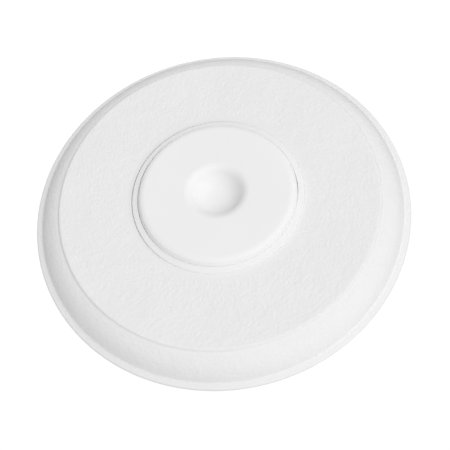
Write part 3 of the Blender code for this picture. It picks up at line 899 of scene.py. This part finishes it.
belongs(belleville, "valve", "spring_steel", "sealing_spring")
film = lathe(
    "seal_film_ring",
    rounded(
        [
            (8.3, SEAT - 0.3, 0.08),
            (8.3, SEAT - 0.55, 0.08),
            (5.7, SEAT - 0.55, 0.08),
            (5.7, SEAT - 0.3, 0.08),
        ],
        step=0.04,
    ),
    72,
    FILM,
)
belongs(film, "valve", "seal_film", "seal_film")
saddle = lathe(
    "saddle_washer",
    rounded(
        [
            (4.6, SEAT - 3.4, 0.15),
            (4.6, SEAT - 4.1, 0.15),
            (1.9, SEAT - 4.1, 0.15),
            (1.9, SEAT - 3.4, 0.15),
        ],
        step=0.06,
    ),
    64,
    SPRING,
)
belongs(saddle, "valve", "spring_steel", "saddle_plate")
screw = lathe(
    "load_set_screw",
    rounded(
        [
            (0, SEAT - 2.7),
            (1.6, SEAT - 2.7, 0.25),
            (1.6, SEAT - 5.0, 0.25),
            (0.7, SEAT - 5.0, 0.1),
            (0.7, SEAT - 4.0, 0.1),
            (0, SEAT - 4.0),
        ],
        closed=False,
        step=0.08,
    ),
    48,
    BRASS,
)
belongs(screw, "valve", "brass", "load_screw")

# ======================================================================= levers and link
for side in ("left", "right"):
    lever = from_cad(f"lever_arm_{side}", f"lever_{side}", BRASS_FLAT, 0.22, 3)
    belongs(lever, f"release_{side}", "brass", f"lever_{side}")
    link = from_cad(f"link_half_{side}", f"link_plate_{side}", BRONZE, 0.08, 2)
    belongs(link, f"release_{side}", "bronze", f"link_plate_{side}")
alloy = from_cad("fusible_film", "solder_film", SOLDER, 0.08, 2)
belongs(alloy, "release_left", "solder", "solder_film")

# ======================================================================= deflector and pins
deflector = from_cad("deflector_plate", "deflector", BRASS_FLAT, 0.16, 2)
belongs(deflector, "deflector_carriage", "brass", "deflector")
stop_z = 18.0 + 12.0 + 0.3
for s, which in ((-1, "front"), (1, "back")):
    pin = lathe(
        f"guide_pin_{which}_rod",
        rounded(
            [
                (0, stop_z + 1.4),
                (1.5, stop_z + 1.4, 0.15),
                (1.5, stop_z + 1.1, 0.1),
                (1.0, stop_z + 1.1, 0.1),
                (1.0, -4.1, 0.15),
                (1.6, -4.1, 0.15),
                (1.6, -4.7, 0.15),
                (1.0, -4.7, 0.1),
                (1.0, -6.5, 0.1),
                (1.6, -6.5, 0.1),
                (1.45, -7.1, 0.25),
                (0, -7.1),
            ],
            closed=False,
            step=0.08,
        ),
        40,
        SPRING,
        at=(0, s * 14.2),
    )
    belongs(pin, "deflector_carriage", "spring_steel", f"guide_pin_{which}")
    collar = lathe(
        f"pin_stop_{which}_collar",
        rounded(
            [
                (2.1, stop_z + 0.8, 0.2),
                (2.1, stop_z, 0.2),
                (1.3, stop_z, 0.1),
                (1.3, stop_z + 0.8, 0.1),
            ],
            step=0.06,
        ),
        40,
        BRASS_FLAT,
        at=(0, s * 14.2),
    )
    belongs(collar, "deflector_carriage", "brass", f"pin_stop_{which}")

# ======================================================================= studio
world = bpy.data.worlds.new("studio")
scene.world = world
world.use_nodes = True
tree = world.node_tree
for n in list(tree.nodes):
    tree.nodes.remove(n)
out = node(tree, "ShaderNodeOutputWorld")
direction = node(tree, "ShaderNodeTexCoord").outputs["Generated"]


def lobe(towards, sharpness, strength):
    """Soft light from one side of the room."""
    v = Vector(towards).normalized()
    dot = node(tree, "ShaderNodeVectorMath", {0: direction, 1: tuple(v)}, operation="DOT_PRODUCT")
    up = node(tree, "ShaderNodeMath", {0: dot.outputs["Value"], 1: 0.0}, operation="MAXIMUM")
    cut = node(tree, "ShaderNodeMath", {0: up.outputs[0], 1: sharpness}, operation="POWER")
    return node(tree, "ShaderNodeMath", {0: cut.outputs[0], 1: strength}, operation="MULTIPLY").outputs[0]


def from_plate(azimuth, elevation):
    """A direction given by its azimuth and elevation over the visible face, the face seen from below."""
    a, e = math.radians(azimuth), math.radians(elevation)
    return (math.cos(e) * math.cos(a), -math.cos(e) * math.sin(a), -math.sin(e))


light = [
    lobe(from_plate(0, 90), 8.0, 0.266),
    lobe(from_plate(0, 60), 8.0, 0.839),
    lobe(from_plate(60, 60), 8.0, 0.475),
    lobe(from_plate(180, 60), 8.0, 0.025),
    lobe(from_plate(240, 60), 8.0, 0.457),
    lobe(from_plate(300, 60), 8.0, 0.902),
    lobe(from_plate(0, 30), 8.0, 0.553),
    lobe(from_plate(45, 30), 8.0, 0.598),
    lobe(from_plate(225, 30), 8.0, 0.463),
    lobe(from_plate(270, 30), 8.0, 0.657),
    lobe(from_plate(315, 30), 8.0, 0.680),
    lobe(from_plate(90, 0), 8.0, 0.213),
    lobe(from_plate(135, 0), 8.0, 0.035),
    lobe(from_plate(180, 0), 8.0, 0.144),
    lobe(from_plate(225, 0), 8.0, 0.475),
    lobe(from_plate(270, 0), 8.0, 0.021),
    lobe(from_plate(120, -30), 8.0, 0.694),
    lobe(from_plate(180, -30), 8.0, 0.407),
    lobe(from_plate(240, -30), 8.0, 0.168),
    lobe((0.30, 0.50, 0.80), 8.0, 0.35),
    lobe((-0.45, -0.50, 0.74), 8.0, 0.12),
]
total = light[0]
for one in light[1:]:
    total = node(tree, "ShaderNodeMath", {0: total, 1: one}, operation="ADD").outputs[0]
total = node(tree, "ShaderNodeMath", {0: total, 1: 0.158}, operation="ADD").outputs[0]
studio = node(tree, "ShaderNodeBackground", {"Color": (1, 1, 1, 1), "Strength": total})
paper = node(tree, "ShaderNodeBackground", {"Color": (1, 1, 1, 1), "Strength": 1.02})
rays = node(tree, "ShaderNodeLightPath")
pick = node(
    tree,
    "ShaderNodeMixShader",
    {0: rays.outputs["Is Camera Ray"], 1: studio.outputs[0], 2: paper.outputs[0]},
)
tree.links.new(pick.outputs[0], out.inputs["Surface"])


def area(name, at, towards, size, power, color=(1, 1, 1), size_y=None):
    data = bpy.data.lights.new(name, "AREA")
    data.shape = "RECTANGLE"
    data.size = size
    data.size_y = size_y or size
    data.energy = power
    data.color = color
    lamp = bpy.data.objects.new(name, data)
    lamp.location = at
    lamp.rotation_euler = (Vector(towards) - Vector(at)).to_track_quat("-Z", "Y").to_euler()
    lamp.visible_camera = False
    scene.collection.objects.link(lamp)
    return lamp


area("softbox_top", (0.10, -0.15, 0.60), (0, 0, -0.02), 0.30, 1.2)
area("softbox_side", (0.34, 0.46, 0.26), (0, 0, -0.02), 0.12, 0.8, size_y=0.5)

floor_bm = bmesh.new()
bmesh.ops.create_grid(floor_bm, x_segments=1, y_segments=1, size=60.0)
floor_mesh = bpy.data.meshes.new("studio_floor")
floor_bm.to_mesh(floor_mesh)
floor_bm.free()
floor = bpy.data.objects.new("studio_floor", floor_mesh)
floor.location = (0, 0, -0.62)
floor_mat, floor_tree, floor_shader = new_material("pale_floor")
floor_tone = noise(floor_tree, place_of(floor_tree), 3.0, 3)
floor_tree.links.new(
    ramp(floor_tree, floor_tone, 0.3, 0.7, (0.80, 0.80, 0.80), (0.83, 0.83, 0.825)),
    floor_shader.inputs["Base Color"],
)
floor_shader.inputs["Roughness"].default_value = 0.7
floor_shader.inputs["Emission Color"].default_value = (1, 1, 1, 1)
floor_shader.inputs["Emission Strength"].default_value = 0.22
floor_mesh.materials.append(floor_mat)
floor.visible_diffuse = False  # the room lights the head from below too
floor.visible_shadow = False
scene.collection.objects.link(floor)

# ======================================================================= camera
FOCAL_PX, IMAGE = 788.753, 450.0
TILT, ROLL = math.radians(27.686), math.radians(12.924)
ct, st = math.cos(TILT), math.sin(TILT)
cr, sr = math.cos(ROLL), math.sin(ROLL)
turn_x = Matrix(((1, 0, 0), (0, ct, st), (0, -st, ct)))
turn_z = Matrix(((cr, -sr, 0), (sr, cr, 0), (0, 0, 1)))
to_camera = turn_z @ turn_x
shift = Vector((-1.673, 6.332, -267.802))
face_down = Matrix(((1, 0, 0), (0, -1, 0), (0, 0, -1)))
eye = face_down @ (-(to_camera.transposed() @ shift))
eye = (eye + Vector((0, 0, CEILING - 0.5))) * MM
camera_data = bpy.data.cameras.new("camera")
camera_data.sensor_fit = "HORIZONTAL"
camera_data.sensor_width = 36.0
camera_data.lens = 36.0 * FOCAL_PX / IMAGE
camera_data.clip_start = 0.01
camera_data.clip_end = 50.0
camera = bpy.data.objects.new("camera", camera_data)
camera.matrix_world = Matrix.Translation(eye) @ (face_down @ to_camera.transposed()).to_4x4()
scene.collection.objects.link(camera)
scene.camera = camera
scene.view_settings.view_transform = "Standard"
scene.view_settings.look = "None"
scene.view_settings.exposure = 0.0
scene.view_settings.gamma = 1.0

bpy.context.view_layer.update()
